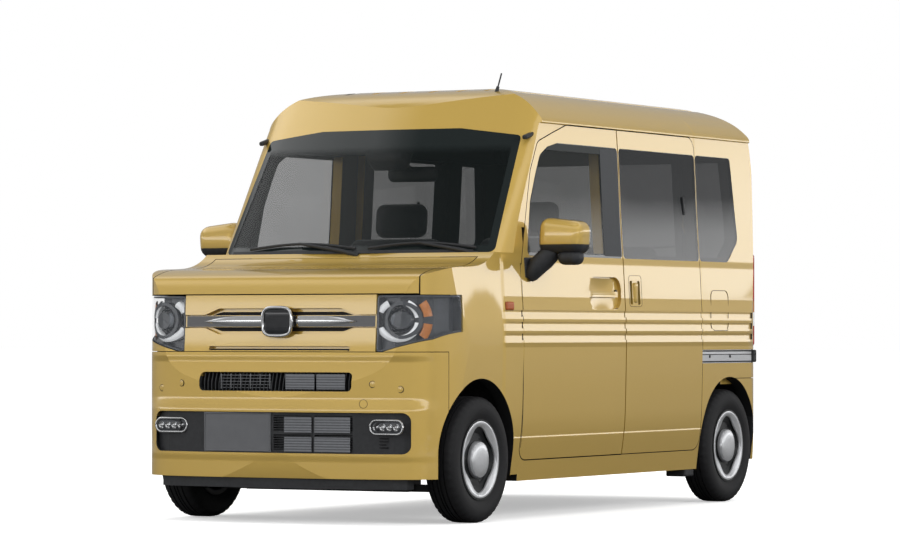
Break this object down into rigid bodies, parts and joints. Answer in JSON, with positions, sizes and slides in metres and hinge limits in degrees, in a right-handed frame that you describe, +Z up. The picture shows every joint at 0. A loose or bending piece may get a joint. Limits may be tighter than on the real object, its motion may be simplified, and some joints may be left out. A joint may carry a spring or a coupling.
{
  "type": "kei van",
  "caption": "Small high-roof box van with a short nose: hinged front doors, sliding rear doors, lifting tailgate and hood, steered front wheels and a hollow cabin.",
  "frame": {"origin": "on the floor under the middle of the body's bounding box", "axes": "+X to the van's left, +Y to its rear, +Z up"},
  "size_m": [1.954, 3.3961, 1.9568],
  "materials": {
    "body_paint": "metallic gold paint, clear coated",
    "trim_black": "grained black plastic",
    "gloss_black": "gloss black",
    "clear_glass": "clear laminated glass",
    "dark_glass": "tinted glass",
    "lamp_clear": "clear lamp cover",
    "lamp_red": "red lamp lens",
    "steel_dark": "black painted steel",
    "silver": "silver paint",
    "cast": "cast iron",
    "tyre": "tyre rubber",
    "cloth": "dark seat cloth",
    "under": "underbody coating"
  },
  "bodies": {
    "body": {"antenna": "trim_black", "body_shell": "body_paint", "dashboard": "trim_black", "door_rails": "silver", "engine": "cast", "exhaust": "silver", "floor_pan": "under", "front_bumper": "body_paint", "front_fenders": "body_paint", "front_seats": "cloth", "front_structure": "under", "front_suspension": "steel_dark", "fuel_tank": "steel_dark", "grille": "body_paint", "headlamp_covers": "lamp_clear", "headlamp_housings": "gloss_black", "intake": "trim_black", "number_plate": "trim_black", "rear_axle": "steel_dark", "rear_bumper": "body_paint", "rear_seat": "cloth", "roof": "body_paint", "side_glass": "dark_glass", "slide_doors": "body_paint", "tail_lamps": "lamp_red", "wheelhouses": "under", "windscreen": "clear_glass", "wipers": "trim_black"},
    "front_door_left": {"door_glass_left": "clear_glass", "front_door_left": "body_paint", "mirror_left": "body_paint"},
    "front_door_right": {"door_glass_right": "clear_glass", "front_door_right": "body_paint", "mirror_right": "body_paint"},
    "tailgate": {"tailgate": "body_paint", "tailgate_glass": "dark_glass"},
    "hood": {"hood": "body_paint"},
    "steering_wheel": {"steering_wheel": "trim_black"},
    "knuckle_left": {"knuckle_left": "cast"},
    "knuckle_right": {"knuckle_right": "cast"},
    "wheel_front_left": {"wheel_front_left": "steel_dark", "tyre_front_left": "tyre"},
    "wheel_front_right": {"wheel_front_right": "steel_dark", "tyre_front_right": "tyre"},
    "wheel_rear_left": {"wheel_rear_left": "steel_dark", "tyre_rear_left": "tyre"},
    "wheel_rear_right": {"wheel_rear_right": "steel_dark", "tyre_rear_right": "tyre"}
  },
  "joints": [
    {"name": "front_door_left_hinge", "type": "hinge", "parent": "body", "child": "front_door_left", "pos_m": [0.7055, -0.7795, 0.69], "axis": [0, 0, -1], "range_deg": [0, 68]},
    {"name": "front_door_right_hinge", "type": "hinge", "parent": "body", "child": "front_door_right", "pos_m": [-0.7055, -0.7795, 0.69], "axis": [0, 0, 1], "range_deg": [0, 68]},
    {"name": "tailgate_hinge", "type": "hinge", "parent": "body", "child": "tailgate", "pos_m": [0, 1.6225, 1.67483], "axis": [1, 0, 0], "range_deg": [0, 85]},
    {"name": "hood_hinge", "type": "hinge", "parent": "body", "child": "hood", "pos_m": [0, -1.1225, 1.094], "axis": [-1, 0, 0], "range_deg": [0, 52]},
    {"name": "steer_left", "type": "hinge", "parent": "body", "child": "knuckle_left", "pos_m": [0.55, -1.1875, 0.268], "axis": [0, 0, 1], "range_deg": [-32, 32]},
    {"name": "steer_right", "type": "hinge", "parent": "body", "child": "knuckle_right", "pos_m": [-0.55, -1.1875, 0.268], "axis": [0, 0, 1], "range_deg": [-32, 32]},
    {"name": "steering_column", "type": "hinge", "parent": "body", "child": "steering_wheel", "pos_m": [-0.34, -0.64, 0.985], "axis": [0, -0.848, -0.5299], "range_deg": [-480, 480]},
    {"name": "wheel_front_left_spin", "type": "hinge", "parent": "knuckle_left", "child": "wheel_front_left", "pos_m": [0.655, -1.1875, 0.268], "axis": [1, 0, 0], "continuous": true},
    {"name": "wheel_front_right_spin", "type": "hinge", "parent": "knuckle_right", "child": "wheel_front_right", "pos_m": [-0.655, -1.1875, 0.268], "axis": [1, 0, 0], "continuous": true},
    {"name": "wheel_rear_left_spin", "type": "hinge", "parent": "body", "child": "wheel_rear_left", "pos_m": [0.655, 1.3325, 0.268], "axis": [1, 0, 0], "continuous": true},
    {"name": "wheel_rear_right_spin", "type": "hinge", "parent": "body", "child": "wheel_rear_right", "pos_m": [-0.655, 1.3325, 0.268], "axis": [1, 0, 0], "continuous": true}
  ],
  "couplings": [
    {"joint": "steer_right", "follows": "steer_left", "ratio": 1},
    {"joint": "steering_column", "follows": "steer_left", "ratio": -15}
  ]
}
